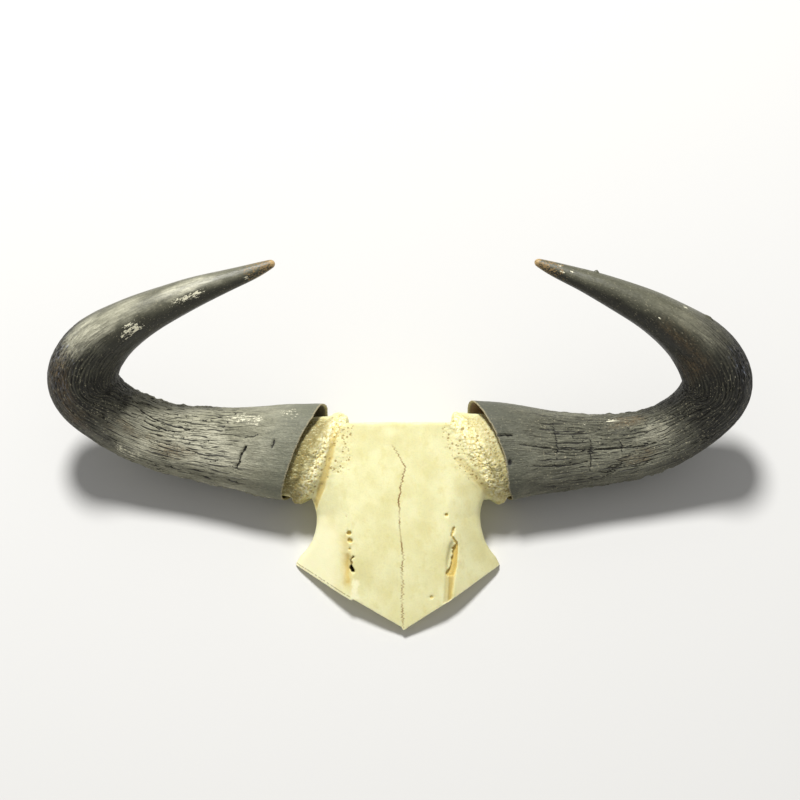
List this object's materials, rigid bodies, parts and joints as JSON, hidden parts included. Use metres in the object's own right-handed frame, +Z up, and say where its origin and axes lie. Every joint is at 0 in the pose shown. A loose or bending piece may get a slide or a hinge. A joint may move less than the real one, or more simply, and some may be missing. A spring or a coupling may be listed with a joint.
{
  "type": "wildebeest skull cap",
  "caption": "Sawn top of a wildebeest skull: a shield-shaped bone plate with wide horns that sweep out, up and back in to slim tips.",
  "frame": {"origin": "middle of the bounding box's underside, which is the plane of the saw cut that the skull rests on", "axes": "+X towards the animal's left horn, +Y from the nose end to the back of the skull, +Z up from the saw cut"},
  "size_m": [0.6032, 0.2733, 0.1687],
  "materials": {
    "bone": "dry, pale cream bone with golden pores and hollows, matt",
    "horn": "dark olive grey horn with fine lengthwise cracks, pale scuffs and tan tips, satin"
  },
  "bodies": {
    "root": {"skull_cap": "bone", "horn_sheath_right": "horn", "horn_sheath_left": "horn"}
  },
  "joints": []
}
